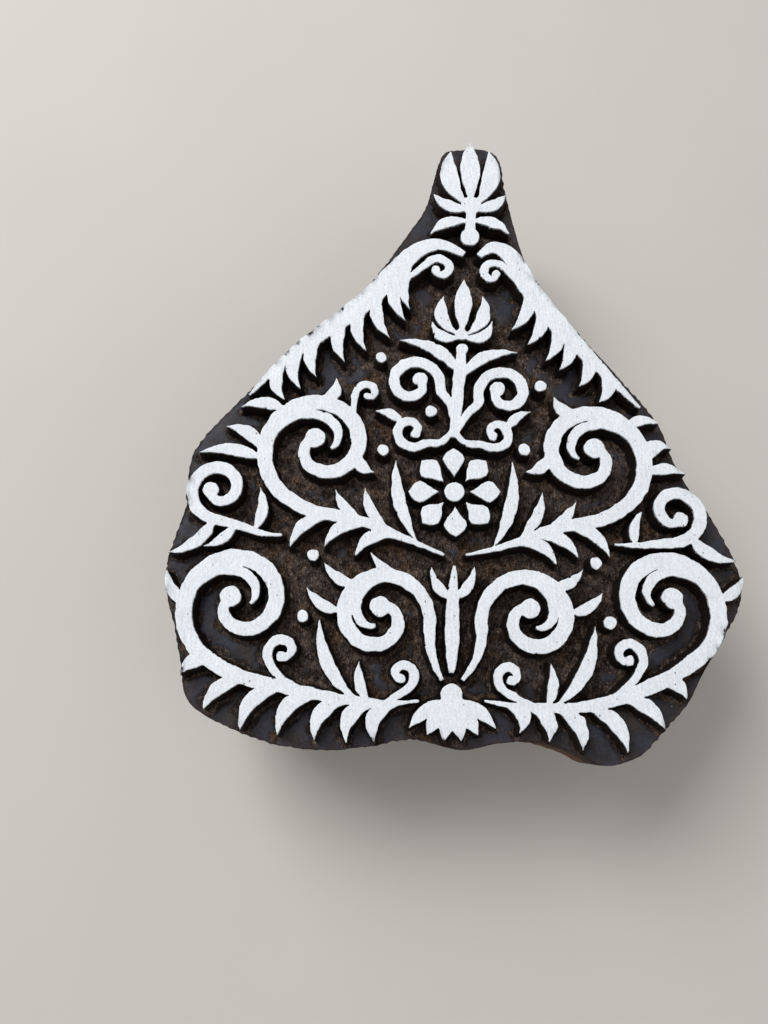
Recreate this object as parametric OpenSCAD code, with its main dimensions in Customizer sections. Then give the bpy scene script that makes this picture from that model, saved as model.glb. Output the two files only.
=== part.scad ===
// Hand stamp for printing cloth: a slab of hardwood sawn to the outline of its design,
// carved in relief on the printing side, with a grip screwed to its back.
// It stands on its grip with the printing side up. Millimetres, +Z up, the origin at
// the middle of the footprint, on the surface that the grip stands on.

/* [Printing face] */
// Width of the block across its printing face
face_w = 131; // [110:1:160]
// Height of the block from its foot to its tip
face_h = 158; // [135:1:190]
// Height of the standing lands above the carved floor
land_h = 4; // [2.5:0.5:6]
// Factor on the width of every carved line
line_w = 1; // [0.85:0.05:1.1]

/* [Block] */
// Thickness of the slab under the carved floor
slab_t = 20; // [16:1:30]

/* [Handle] */
// Length of the handle along the width of the block
handle_len = 92; // [80:1:105]
// Width of the handle at its two ends
handle_w = 30; // [26:1:38]
// Height of the handle from its resting face to the slab
handle_h = 26; // [22:1:36]
// Width of the waist that the hand closes on
waist_w = 21; // [18:1:24]
// Length of each full end beyond the waist
handle_end = 11; // [8:1:14]
// Depth of the finger groove along each side
groove_d = 2.5; // [1:0.5:3]
// Radius of the handle's rounded corners and edges
handle_r = 4; // [2:0.5:6]

/* [Screws] */
// Distance between the two screws
screw_gap = 66; // [56:1:70]
// Diameter of a screw's shank
shank_d = 4; // [3:0.5:5]
// Diameter of a screw's head
head_d = 8; // [7:0.5:9]
// Thickness of a screw's head
head_t = 2.6; // [2:0.2:3]
// Depth at which the head sits in its counterbore
head_sunk = 12; // [8:1:14]
// Length of a screw's grip in the slab
screw_bite = 12; // [8:1:13]
// Play between a screw and the wood around it
screw_play = 0.1; // [0.05:0.05:0.3]

/* [Hidden] */

// Steps between two points of the block's outline, and of a carved line
rim_steps = 4;
line_steps = 5;
// Turn of a scroll from one of its points to the next, in degrees
curl_step = 15;
// Steps along one edge of a leaf
leaf_steps = 8;

wood = "#5a3320";
dark_wood = "#3a2218";
chalk = "#dfe1e6";
iron = "#6a6763";

// Height of the carved floor
floor_z = handle_h + slab_t;
// Radius of the arc that cuts the handle's waist
waist_span = handle_len - 2 * handle_end;
waist_cut = (handle_w - waist_w) / 2;
bow = (waist_span * waist_span / 4 + waist_cut * waist_cut) / (2 * waist_cut);
// Radius of the finger groove, and the height at which it runs
groove_r = 7;
groove_z = handle_h * 0.58;
// Radius of the dome of a screw's head
dome_r = head_d * 0.72;
// Width and depth of the slot across a screw's head
slot_w = 1.2;
slot_d = 1.2;
// Play round a screw's head in its counterbore, and room beyond its point
head_room = 0.5;
tip_room = 1;
// Overlap of a cut beyond the face that it opens
eps = 0.5;

// Point on the smooth curve through b and c, at share t between them
function between(a, b, c, d, t) =
    0.5 * (2 * b + (c - a) * t + (2 * a - 5 * b + 4 * c - d) * t * t
        + (3 * b - a - 3 * c + d) * t * t * t);

// Smooth closed curve through the points p
function ring(p, n) = [
    for (i = [0 : len(p) - 1], k = [0 : n - 1])
        between(p[(i + len(p) - 1) % len(p)], p[i], p[(i + 1) % len(p)], p[(i + 2) % len(p)], k / n)
];

// Smooth open curve through the points p
function curve(p, n = line_steps) = [
    for (i = [0 : len(p) - 2], k = [0 : n - 1])
        between(p[max(i - 1, 0)], p[i], p[i + 1], p[min(i + 2, len(p) - 1)], k / n),
    p[len(p) - 1]
];

// Spiral about c from radius r0 to r1, from angle a0 through the turn
function curl(c, r0, r1, a0, turn) = let (n = ceil(abs(turn) / curl_step)) [
    for (i = [0 : n]) let (s = i / n, a = a0 + turn * s)
        c + (r0 + (r1 - r0) * s) * [cos(a), sin(a)]
];

// Direction of the path q at its point i
function along(q, i) =
    let (d = q[min(i + 1, len(q) - 1)] - q[max(i - 1, 0)]) d / norm(d);

// Point at the distance off to the left of the path q, at its point i
function beside(q, i, off) = let (d = along(q, i)) q[i] + off * [-d[1], d[0]];

// Width at share s along a line whose widths are w at its start, middle and end
function width_at(w, s) =
    s < 0.5 ? w[0] + (w[1] - w[0]) * sin(180 * s) : w[2] + (w[1] - w[2]) * sin(180 * s);

// A carved line along the path p of the drawing sheet
module line(p, w) {
    n = len(p) - 1;
    half = [for (i = [0 : n]) line_w * width_at(w, i / n) / 2];
    polygon(concat(
        [for (i = [0 : n]) beside(p, i, half[i])],
        [for (i = [n : -1 : 0]) beside(p, i, -half[i])]
    ));
}

// A round dot, bulb or knot
module dot(c, r) {
    translate(c) circle(line_w * r, $fn = 14);
}

// Path along the points p that flows into a curl
function scroll_path(p, c, r0, r1, a0, turn) =
    let (
        whirl = curl(c, r0, r1, a0, turn),
        last = p[len(p) - 1],
        flow = (whirl[1] - whirl[0]) / norm(whirl[1] - whirl[0]),
        lead = curve(concat(p, [whirl[0], last + 2 * norm(whirl[0] - last) * flow]))
    ) concat([for (i = [0 : len(p) * line_steps - 1]) lead[i]], whirl);

// A scroll of the given path and widths, with a bulb at its end
module scroll(path, w, bulb) {
    line(path, w);
    dot(path[len(path) - 1], bulb);
}

// A leaf from a to b, widest at the share belly, with its middle bent to the left
module leaf(a, b, w, bend = 0, belly = 0.42) {
    d = b - a;
    side = [-d[1], d[0]] / norm(d);
    q = [for (i = [0 : leaf_steps]) let (s = i / leaf_steps)
        a + d * s + side * bend * 4 * s * (1 - s)];
    half = [for (i = [0 : leaf_steps]) let (s = i / leaf_steps)
        line_w * w / 2 * sin(180 * pow(s, ln(0.5) / ln(belly)))];
    polygon(concat(
        [for (i = [0 : leaf_steps]) beside(q, i, half[i])],
        [for (i = [leaf_steps - 1 : -1 : 1]) beside(q, i, -half[i])]
    ));
}

// Leaves round the centre c from radius r0 to r1, between the angles a0 and a1
module fan(c, r0, r1, a0, a1, n, w, belly = 0.6) {
    for (i = [0 : n - 1]) {
        a = a0 + (a1 - a0) * i / (n - 1);
        leaf(c + r0 * [cos(a), sin(a)], c + r1 * [cos(a), sin(a)], w, 0, belly);
    }
}

// Leaves along the path p, each rooted at the distance lift beside it and turned from it
module sprays(p, first, last, n, size, w, turn, bend, lift = 0.5) {
    side = turn > 0 ? 1 : -1;
    for (i = [0 : n - 1]) {
        s = n > 1 ? i / (n - 1) : 0;
        k = round((first + (last - first) * s) * (len(p) - 1));
        d = along(p, k);
        root = beside(p, k, side * lift);
        dir = [d[0] * cos(turn) - d[1] * sin(turn), d[0] * sin(turn) + d[1] * cos(turn)];
        leaf(root, root + dir * (size[0] + (size[1] - size[0]) * s), w, -side * bend, 0.5);
    }
}

// A land drawn on the sheet, standing on the carved floor
module land() {
    color(chalk) translate([0, 0, floor_z]) linear_extrude(land_h)
        offset(delta = 0) scale(sheet_scale) translate(-sheet_mid) children();
}

// Edge of the block on the drawing sheet, from the tip round by the right
sheet_rim = ring([
    [7, 78.9], [12.6, 78.4], [15.8, 75], [17, 65], [18.8, 54], [22, 41], [27.4, 31.6], [34, 22.8],
    [41, 13.4], [47.4, 5], [51.4, -2], [53.4, -9.5], [56.4, -16.7], [60, -22.4], [63.2, -29],
    [65.3, -35], [66.2, -40.4], [64.6, -46], [60.4, -52.6], [55.4, -59.4], [51, -66.4],
    [46, -71.6], [41, -76.4], [36, -78.6], [31, -79.2], [25.5, -76.6], [17, -74.5], [9, -74.7],
    [1, -76], [-9, -74], [-20, -75.5], [-31, -76], [-44, -73.5], [-57.6, -66.6], [-60.6, -58],
    [-62.4, -50.6], [-65, -42], [-65.4, -34.6], [-63.6, -27], [-61.8, -20.4], [-61.9, -11.6],
    [-59.6, -5], [-52.6, 3.4], [-46.6, 10.4], [-41, 16.6], [-33.4, 23.2], [-24.6, 31.2],
    [-17, 40.8], [-9.6, 51.8], [-4.6, 60.4], [-2, 70], [0.6, 77.4]
], rim_steps);
rim_x = [for (p = sheet_rim) p[0]];
rim_y = [for (p = sheet_rim) p[1]];

// Middle of the sheet's outline, and its scale to the face
sheet_mid = [max(rim_x) + min(rim_x), max(rim_y) + min(rim_y)] / 2;
sheet_scale = [face_w / (max(rim_x) - min(rim_x)), face_h / (max(rim_y) - min(rim_y))];

// The block's edge at its real size and place
block_rim = [for (p = sheet_rim) let (q = p - sheet_mid) [q[0] * sheet_scale[0], q[1] * sheet_scale[1]]];

// A small scroll of the width w, from the points p into a curl about c
module tendril(p, c, r, a0, turn, w = 2.1) {
    scroll(scroll_path(p, c, r, 0.28 * r, a0, turn), [0.5 * w, w, 0.7 * w], 0.56 * w);
}

module bud_art() {
    foot = [7, 57];
    leaf(foot, [7.2, 77.3], 5.2, 0, 0.6);
    for (m = [-1, 1]) {
        leaf(foot, [7.2 + m * 5, 74.6], 4.8, -m * 2.7, 0.58);
        leaf(foot, [6.9 + m * 9.4, 61.4], 3.2, -m * 1.6, 0.5);
        leaf([6.7, 53], [6.4 + m * 10, 49.4], 3, m * 1.8, 0.5);
    }
    dot(foot + [0, 1], 2.6);
    line(curve([foot, [6.8, 54], [6.5, 49]]), [3, 2.4, 3]);
    dot([6.5, 48.5], 2.5);
}

crown_left = curve([[4.8, 43.4], [-0.4, 46.2], [-6.4, 45], [-12.4, 39], [-18.2, 32], [-25.4, 25.6],
    [-33.2, 19.6], [-40.4, 13.2], [-47.6, 5]]);
module crown_leaf_left_art() {
    line(crown_left, [1.5, 5.2, 0.5]);
    sprays(crown_left, 0.27, 0.86, 8, [16, 10.5], 3.2, 44, 2.6);
    tendril([[-10.4, 35.6], [-7, 38.8]], [-1.4, 39.2], 3.6, 150, -320);
}

crown_right = curve([[8.6, 43], [12.4, 45.6], [16.8, 42.6], [20.2, 35.2], [24.8, 27.4], [31.2, 18.8],
    [38.2, 10.2], [45.4, 1.6]]);
module crown_leaf_right_art() {
    line(crown_right, [1.5, 5.2, 0.5]);
    sprays(crown_right, 0.44, 0.82, 6, [13.4, 8.6], 3.2, -44, 2.4);
    tendril([[19.2, 33.6], [16.6, 37.2]], [11.8, 38], 3.4, 30, 320, 2);
}

module tulip_art() {
    foot = [3.6, 20.5];
    leaf(foot, [4.6, 36], 4.4, 0, 0.58);
    for (m = [-1, 1]) {
        leaf(foot, [4.2 + m * 4.8, 31.5], 3.4, -m * 2.6, 0.58);
        leaf(foot, [3.8 + m * 7.4, 24.5], 2.8, -m * 2.4, 0.5);
    }
    dot(foot + [0, 0.5], 1.5);
}

volute_left = scroll_path([[1.2, -3], [0.2, 3]], [-8.5, 8], 6.8, 2, -15, 405);
volute_right = scroll_path([[1.4, -5], [4.2, 0]], [13.5, 5.5], 6.5, 2, 195, -405);
module stem_art() {
    line(curve([[0.8, -5.8], [1.6, 0], [2.6, 9], [3.2, 14], [3.5, 18]]), [1.4, 3, 1.6]);
    dot([3.5, 17.1], 1.5);
    scroll(volute_left, [1.2, 2.7, 1.8], 1.9);
    scroll(volute_right, [1.2, 2.7, 1.8], 1.9);
    leaf([3, 10.5], [-11.6, 19.4], 3.2, -2.4);
    leaf([3.2, 9.5], [17, 16], 3, 2.4);
    tendril([[1, -3.4], [-1.8, -7]], [-9, -4.2], 4.4, -50, -350, 2.2);
    tendril([[1, -3.8], [3.6, -7.2]], [11, -4.8], 4, 230, 350, 2.1);
    leaf([-11.2, -2.2], [-17.4, 0.8], 2.4, -1);
    leaf([13.6, -4], [19.4, 0.6], 2.4, 1);
}

module rosette_art() {
    c = [0.8, -19.2];
    dot(c, 2.4);
    fan(c, 3.6, 10.6, 0, 315, 8, 5.2, 0.62);
}

great_left = scroll_path([[-2, -34], [-10, -30.5], [-21, -26]], [-30, -8], 15, 2.6, -112, -480);
module great_scroll_left_art() {
    scroll(great_left, [0.4, 3.8, 2], 2.5);
    line(curl([-30, -8], 11.4, 2.2, 165, -180), [0.8, 2.4, 0.6]);
    sprays(great_left, 0.40, 0.53, 2, [11, 7.4], 3.2, 50, 2);
    sprays(great_left, 0.69, 0.69, 1, [6.4, 6.4], 3, 50, 1.6);
    sprays(great_left, 0.12, 0.25, 3, [10.5, 12], 3, 46, 2.6);
    leaf([-38.8, 1], [-49.4, 1.8], 3, -1.6);
    leaf([-43.8, -11.2], [-58.6, -9.6], 3, -1.6);
    leaf([-8, -31], [-12.6, -11.4], 3, 1.6, 0.5);
    leaf([-14, -28.6], [-19.8, -18.2], 2.6, 1.4, 0.5);
    leaf([-20, -26], [-26.6, -18.6], 2.4, 1.2, 0.5);
    tendril([[-22.6, -1.6], [-22.6, 2]], [-19.2, 5.4], 3, 180, -290, 1.8);
}

great_right = scroll_path([[3, -34], [12, -32], [23, -28]], [32.2, -10.6], 14.6, 2.6, -68, 480);
module great_scroll_right_art() {
    scroll(great_right, [0.4, 3.8, 2], 2.5);
    line(curl([32.2, -10.6], 11.2, 2.2, 15, 180), [0.8, 2.4, 0.6]);
    sprays(great_right, 0.40, 0.56, 2, [6.8, 7], 3, -50, 1.6);
    sprays(great_right, 0.66, 0.66, 1, [7.5, 7.5], 3, -50, 1.6);
    sprays(great_right, 0.12, 0.235, 3, [10, 11.5], 3, -46, 2.4);
    leaf([41.6, -3.6], [49.4, -2.4], 2.6, 1.4);
    leaf([44.6, -9.6], [51.8, -8.8], 2.6, 1.4);
    leaf([45.4, -15], [54.4, -15], 2.8, 1.4);
    leaf([9, -32.5], [14.4, -12], 3, -2, 0.5);
    leaf([15, -30.4], [21, -19.4], 2.6, -1.4, 0.5);
    leaf([21, -28], [28.6, -21.6], 2.4, -1.2, 0.5);
}

rim_left = scroll_path([[-38.6, -29.4], [-43, -29], [-49.6, -26.8]], [-53.4, -18.4], 7, 2, -112, -420);
module rim_scroll_left_art() {
    scroll(rim_left, [0.4, 2.9, 1.8], 1.9);
    leaf([-54, -25.4], [-64, -33.4], 3, 1.8);
    leaf([-49, -26.8], [-56.2, -32], 2.4, 1);
    leaf([-45, -28.4], [-44, -18], 2.6, -1.3);
}

rim_right = scroll_path([[36.6, -31.6], [42, -31.8], [47, -31.4]], [51, -24.2], 6.6, 2, -75, 380);
module rim_scroll_right_art() {
    scroll(rim_right, [0.4, 2.8, 1.7], 1.8);
    leaf([53.6, -29.2], [63.6, -35.4], 3, -1.8);
    leaf([41.4, -31.8], [43.4, -24], 2.4, 1);
}

module spear_art() {
    line(curve([[-0.9, -60], [-0.6, -54], [-0.3, -46], [0.3, -36.5]]), [1, 3.2, 0.6]);
    for (m = [-1, 1]) leaf([-0.2, -44], [m * 4.8, -36.8], 2.4, m * -1.2);
}

foot_left = scroll_path([[-3, -61.5], [-5, -56.5]], [-16.5, -48], 11.4, 2.4, -14, 460);
module foot_scroll_left_art() {
    scroll(foot_left, [0.8, 3.4, 1.9], 2.3);
    line(curl([-16.5, -48], 8.8, 2, 75, 170), [0.8, 2.2, 0.6]);
    leaf([-11, -39.6], [-18.4, -33.4], 2.4, 1);
    leaf([-21.6, -40.6], [-28.8, -35.8], 2.6, 1.2);
    leaf([-25, -46.6], [-32.6, -41.4], 2.6, 1.2);
}

foot_right = scroll_path([[1.4, -61.5], [4.6, -57]], [17, -48.5], 11.4, 2.4, 194, -460);
module foot_scroll_right_art() {
    scroll(foot_right, [0.8, 3.4, 1.9], 2.3);
    line(curl([17, -48.5], 8.8, 2, 105, -170), [0.8, 2.2, 0.6]);
    leaf([22.2, -41.2], [29, -37.4], 2.6, -1.2);
    leaf([25.6, -47], [33, -42.6], 2.6, -1.2);
}

module palmette_art() {
    fan([-1, -63.4], 0, 10.8, -120, -60, 4, 3.6);
    for (m = [-1, 1]) leaf([-1, -65.4], [-1 + m * 9.2, -71.4], 2.8, m * 1, 0.55);
    dot([-1, -64.6], 2.4);
}

outer_left = scroll_path([[-8, -65.8], [-17, -66.2], [-33, -63.8]], [-47.2, -44.8], 14, 2.6, -112, -460);
module outer_scroll_left_art() {
    scroll(outer_left, [0.4, 3.8, 1.9], 2.4);
    line(curl([-47.2, -44.8], 10.6, 2.2, 165, -170), [0.8, 2.3, 0.6]);
    sprays(outer_left, 0.06, 0.23, 5, [9.2, 12.2], 3.4, 54, 3);
    sprays(outer_left, 0.28, 0.33, 2, [10.6, 7], 3.2, 50, 2);
    leaf([-59, -45], [-64, -37.4], 2.6, 1.2);
    leaf([-21, -66], [-29.6, -48.6], 3, 2.4, 0.5);
    leaf([-18.8, -66], [-20.8, -57.4], 2.4, 0.9);
    tendril([[-34, -63], [-38, -60.6]], [-37.4, -55.4], 3.6, -150, -320);
    tendril([[-15.2, -66], [-12.8, -64.8]], [-11.6, -60.3], 3.1, -60, 320, 2);
}

outer_right = scroll_path([[6, -65.8], [15, -67], [31, -66.4]], [46.2, -45.2], 13.6, 2.6, -68, 460);
module outer_scroll_right_art() {
    scroll(outer_right, [0.4, 3.8, 1.9], 2.4);
    line(curl([46.2, -45.2], 10.4, 2.2, 15, 170), [0.8, 2.3, 0.6]);
    sprays(outer_right, 0.07, 0.2, 4, [6, 12], 3.4, -54, 2.6);
    sprays(outer_right, 0.24, 0.28, 2, [10.8, 6.4], 3.2, -50, 2);
    leaf([58.6, -44], [64.6, -39], 2.6, -1.2);
    leaf([21, -67], [30.8, -50], 3, -2.4, 0.5);
    leaf([19.4, -67], [20.6, -58], 2.4, -0.9);
    tendril([[32.6, -66], [37.8, -62]], [37.4, -56.4], 3.6, -30, 320);
    tendril([[16.8, -67], [14, -65.8]], [11.8, -60.8], 3.2, 240, -320, 2);
}

module berries_art() {
    for (b = [[-16.2, 14.8], [22, 7.2], [-4.3, 0.8], [-15.6, -9], [17.4, -8.8], [-31.4, -34],
        [32, -36], [-33.6, -47.8], [34.2, -49.2]])
        dot(b, 1.5);
}

// Centre of gravity of the closed outline p
function centroid(p) =
    let (
        n = len(p),
        c = [for (i = [0 : n - 1]) let (j = (i + 1) % n) p[i][0] * p[j][1] - p[j][0] * p[i][1]],
        s = [for (i = [0 : n - 1]) (p[i] + p[(i + 1) % n]) * c[i]],
        one = [for (i = c) 1]
    ) [one * [for (v = s) v[0]], one * [for (v = s) v[1]]] / (3 * (one * c));

grip_centre = centroid(block_rim);

// Places what repeats at the two screws
module at_screws() {
    for (m = [-1, 1]) translate([grip_centre[0] + m * screw_gap / 2, grip_centre[1], 0]) children();
}

module block() {
    color(wood) difference() {
        translate([0, 0, handle_h]) linear_extrude(slab_t) polygon(block_rim);
        at_screws() translate([0, 0, handle_h - eps])
            cylinder(r = shank_d / 2 + screw_play, h = screw_bite + tip_room + eps, $fn = 48);
    }
}

// Rounded rectangle of the size a by b about the origin
module rounded(a, b, r) {
    square([a - 2 * r, b], center = true);
    square([a, b - 2 * r], center = true);
    for (i = [-1, 1], j = [-1, 1]) translate([i * (a / 2 - r), j * (b / 2 - r)]) circle(r, $fn = 64);
}

// Plan of the handle: a bar with a waist between its two ends
module handle_plan() {
    difference() {
        rounded(handle_len, handle_w, handle_r);
        for (m = [-1, 1]) translate([0, m * (waist_w / 2 + bow)]) circle(bow, $fn = 200);
    }
}

// The bar seen along one of its sides, w wide: upright, with its lower edges rounded
module handle_side(w) {
    translate([0, handle_h - handle_r / 2]) square([w, handle_r], center = true);
    translate([0, handle_h / 2]) rounded(w, handle_h, handle_r);
}

module handle() {
    color(dark_wood) difference() {
        translate([grip_centre[0], grip_centre[1], 0]) difference() {
            intersection() {
                linear_extrude(handle_h) handle_plan();
                rotate([90, 0, 0]) translate([0, 0, -handle_w / 2])
                    linear_extrude(handle_w) handle_side(handle_len);
                rotate([90, 0, 90]) translate([0, 0, -handle_len / 2])
                    linear_extrude(handle_len) handle_side(handle_w);
            }
            for (m = [-1, 1]) translate([0, m * (waist_w / 2 + bow), groove_z])
                rotate_extrude($fn = 200) translate([bow + groove_d - groove_r, 0])
                circle(groove_r, $fn = 64);
        }
        at_screws() translate([0, 0, -eps]) {
            cylinder(r = shank_d / 2 + screw_play, h = handle_h + 2 * eps, $fn = 48);
            cylinder(r = head_d / 2 + head_room, h = head_sunk + eps, $fn = 48);
        }
    }
}

// One round-headed wood screw, its head's seat at the origin and its point up
module screw() {
    tip = shank_d;
    reach = handle_h - head_sunk + screw_bite;
    difference() {
        union() {
            cylinder(r = shank_d / 2, h = reach - tip, $fn = 48);
            translate([0, 0, reach - tip])
                cylinder(r1 = shank_d / 2, r2 = shank_d / 8, h = tip, $fn = 48);
            rotate_extrude($fn = 48) intersection() {
                translate([0, -head_t]) square([head_d / 2, head_t]);
                translate([0, dome_r - head_t]) circle(dome_r, $fn = 96);
            }
        }
        translate([0, 0, -head_t]) cube([head_d + 1, slot_w, 2 * slot_d], center = true);
    }
}

module screws() {
    color(iron) at_screws() translate([0, 0, head_sunk]) screw();
}

module bud_land() land() bud_art();
module crown_leaf_left_land() land() crown_leaf_left_art();
module crown_leaf_right_land() land() crown_leaf_right_art();
module tulip_land() land() tulip_art();
module stem_land() land() stem_art();
module rosette_land() land() rosette_art();
module great_scroll_left_land() land() great_scroll_left_art();
module great_scroll_right_land() land() great_scroll_right_art();
module rim_scroll_left_land() land() rim_scroll_left_art();
module rim_scroll_right_land() land() rim_scroll_right_art();
module spear_land() land() spear_art();
module foot_scroll_left_land() land() foot_scroll_left_art();
module foot_scroll_right_land() land() foot_scroll_right_art();
module palmette_land() land() palmette_art();
module outer_scroll_left_land() land() outer_scroll_left_art();
module outer_scroll_right_land() land() outer_scroll_right_art();
module berries_land() land() berries_art();

block();
handle();
screws();
bud_land();
crown_leaf_left_land();
crown_leaf_right_land();
tulip_land();
stem_land();
rosette_land();
great_scroll_left_land();
great_scroll_right_land();
rim_scroll_left_land();
rim_scroll_right_land();
spear_land();
foot_scroll_left_land();
foot_scroll_right_land();
palmette_land();
outer_scroll_left_land();
outer_scroll_right_land();
berries_land();
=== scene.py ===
import functools
import math

import bmesh
import bpy
import numpy as np
from bpy.props import FloatProperty, FloatVectorProperty, PointerProperty
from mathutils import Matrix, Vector
from mathutils.geometry import delaunay_2d_cdt
from mathutils.kdtree import KDTree


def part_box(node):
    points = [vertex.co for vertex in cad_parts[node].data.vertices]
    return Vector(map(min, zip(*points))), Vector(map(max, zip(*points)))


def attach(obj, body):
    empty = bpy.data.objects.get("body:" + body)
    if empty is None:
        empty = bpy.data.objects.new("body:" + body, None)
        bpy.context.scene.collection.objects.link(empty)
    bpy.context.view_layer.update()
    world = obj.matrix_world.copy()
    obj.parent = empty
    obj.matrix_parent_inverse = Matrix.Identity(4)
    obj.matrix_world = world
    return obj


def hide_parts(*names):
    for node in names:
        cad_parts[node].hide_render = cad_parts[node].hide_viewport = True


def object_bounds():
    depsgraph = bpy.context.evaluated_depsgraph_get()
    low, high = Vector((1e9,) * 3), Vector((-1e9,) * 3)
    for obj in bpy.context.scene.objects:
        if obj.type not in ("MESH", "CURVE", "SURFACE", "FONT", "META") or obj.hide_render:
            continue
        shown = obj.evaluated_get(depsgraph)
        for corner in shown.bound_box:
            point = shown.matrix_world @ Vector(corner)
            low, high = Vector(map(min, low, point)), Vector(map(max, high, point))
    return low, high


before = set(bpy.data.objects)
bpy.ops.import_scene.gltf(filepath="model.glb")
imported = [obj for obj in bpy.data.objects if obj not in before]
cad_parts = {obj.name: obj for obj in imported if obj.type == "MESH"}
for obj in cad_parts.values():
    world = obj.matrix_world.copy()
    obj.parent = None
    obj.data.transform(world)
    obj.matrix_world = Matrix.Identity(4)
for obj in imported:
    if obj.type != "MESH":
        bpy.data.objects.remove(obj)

bl_info = {
    "name": "Block Printing Stamp",
    "version": (1, 0, 0),
    "blender": (4, 5, 0),
    "location": "3D View > Sidebar > Stamp",
    "description": "Dresses the packed solids of a carved hand stamp as stained and chalked wood",
    "category": "Object",
}

CAD_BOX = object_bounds()
MM = 0.001
# Points closer together than this are one and the same
SAME = 0.001 * MM
BODY = "root"
LANDS = sorted(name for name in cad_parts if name.endswith("_land"))
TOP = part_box(LANDS[0])[1].z
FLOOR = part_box("block")[1].z
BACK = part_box("block")[0].z

# Points of a drawn outline that lie closer together than this are one point
LEAST_STEP = 0.12 * MM
# A turn sharper than this is a corner
SHARP = math.radians(34)
# Lengths of the waves in which the knife strays, slow and quick, and in which an edge is chipped
SLOW_STRAY = 4 * MM
QUICK_STRAY = 1.3 * MM
CHIP_WAVE = 1.1 * MM
# Distance from the block's rim at which a land's wear begins to fade, and the wave in which it varies
WEAR_START = 0.4 * MM
WEAR_WAVE = 5 * MM
# Length of the wave of the upright chisel marks, and the deepest mark as a share of the usual depth
CHISEL_WAVE = 1.7 * MM
DEEPEST_MARK = 1.3
# Depth on a land's rounding at which its chalk would end, as a share of the rounding's radius
CHALK_REACH = 1.35
# Cover of chalk at the lower end of the rounding and just below it, and how much of it the wear takes
RIM_CHALK = 0.6
WALL_CHALK = 0.3
LOST_CHALK = 0.62
# Distances from the block's rim between which the cuts beside the lands widen
NARROW_RIM = 4 * MM
WIDE_INSIDE = 22 * MM
# Lengths of the waves in which the width and the depth of those cuts vary
WIDTH_WAVE = 34 * MM
DEPTH_WAVE = 5 * MM
# How far the outer edge of those cuts strays, and over what lengths, slowly and quickly
SLOW_BEND = 0.5 * MM
SLOW_BEND_WAVE = 6 * MM
QUICK_BEND = 0.3 * MM
QUICK_BEND_WAVE = 2.2 * MM
# Fine streaks along the cuts: their distance, their height, and the wave in which they wander
STREAK_GAP = 0.9 * MM
STREAK_HEIGHT = 0.03 * MM
STREAK_WAVE = 3 * MM
# The open ground's dips, by their distance and depth, and its ripples, by their length and height
DIP_GAP = 5 * MM
OPEN_DIP = 0.11 * MM
RIPPLE_WAVE = 1.2 * MM
OPEN_RIPPLE = 0.02 * MM
# How far the ground falls towards the block's rim, and between what distances from it
RIM_FALL = 0.1 * MM
FALL_FULL = 0.3 * MM
FALL_START = 2.5 * MM
# Length over which the saw marks vary in depth
SAW_WAVE = 30 * MM
# How much the shallow hollows of the sawn sides vary in depth, and over what length
SIDE_HOLLOW = 0.05 * MM
SIDE_WAVE = 7 * MM
# Depth of the brim's chips, and the length over which they come and go
BRIM_CHIP = 0.12 * MM
BRIM_WAVE = 2.5 * MM
# Length over which the hollows of the back vary, and the width of the even strip round them
BACK_WAVE = 14 * MM
BACK_STRIP = 0.8 * MM
# Rounds of smoothing that ease the handle's edges
HANDLE_ROUNDS = 4
# Points of the handle this near to its upper or lower face are put back on that face
FACE_REACH = 0.6 * MM


# Sizes and colours

def length(name, description, value):
    """A length that the sidebar shows, given in millimetres."""
    return FloatProperty(
        name=name, description=description, default=value * MM, min=0, unit="LENGTH", precision=5
    )


def place(name, description, value):
    """A place along an axis that the sidebar shows, given in millimetres."""
    return FloatProperty(name=name, description=description, default=value * MM, unit="LENGTH", precision=5)


def point(name, description, value):
    """A point in space that the sidebar shows, given in metres."""
    return FloatVectorProperty(
        name=name, description=description, default=value, size=3, unit="LENGTH", subtype="TRANSLATION"
    )


def share(name, description, value):
    """A share from 0 to 1 that the sidebar shows."""
    return FloatProperty(name=name, description=description, default=value, min=0, max=1, subtype="FACTOR")


def power(name, description, value):
    """The power of a lamp that the sidebar shows, given in watts."""
    return FloatProperty(name=name, description=description, default=value, min=0, unit="POWER")


def colour(name, description, value):
    """A colour that the sidebar shows."""
    return FloatVectorProperty(
        name=name, description=description, default=value, size=4, min=0, max=1, subtype="COLOR"
    )


class CarvingSizes(bpy.types.PropertyGroup):
    """Sizes of the carving on the printing side."""

    point_gap: length("Point gap", "Distance between two points along a carved edge", 0.3)
    knife_cut: length("Knife cut", "Mean length of the knife's straight cuts along a curved edge", 1.9)
    knife_flat: share("Knife flats", "How far the knife's cuts flatten a curved edge", 0.42)
    wobble: length("Wobble", "How far the knife strays from the drawn line", 0.12)
    chip: length("Chip", "Depth of the largest chips out of a land's edge", 0.28)
    edge_round: length("Edge rounding", "Radius of the worn upper edge of a land", 0.16)
    wall_spread: length("Wall spread", "How far a land's foot stands out from its upper edge", 0.34)
    chisel_mark: length("Chisel mark", "Depth of the upright marks on a land's wall", 0.09)
    root: length("Root", "How far a land's wall runs on below the floor", 1.3)
    tip_wear: length("Tip wear", "How far the lands are worn down beside the block's rim", 0.45)
    wear_reach: length("Wear reach", "Distance from the rim at which the wear ends", 4.2)
    ground_gap: length("Ground gap", "Distance between two points of the carved ground", 0.41)
    trench_width: length("Trench width", "Width of the rough cut along a land's foot", 3.3)
    # The near black band beside a land that this width sets is painted shade
    shade_band_width: length("Cut width", "Width of the near black cut right beside a land", 0.8)
    trench_depth: length("Trench depth", "Depth of the cut along a land's foot", 0.5)
    gouge_width: length("Gouge width", "Distance between two gouge marks", 1.25)
    gouge_depth: length("Gouge depth", "Height of the ridge between two gouge marks", 0.24)


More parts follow.
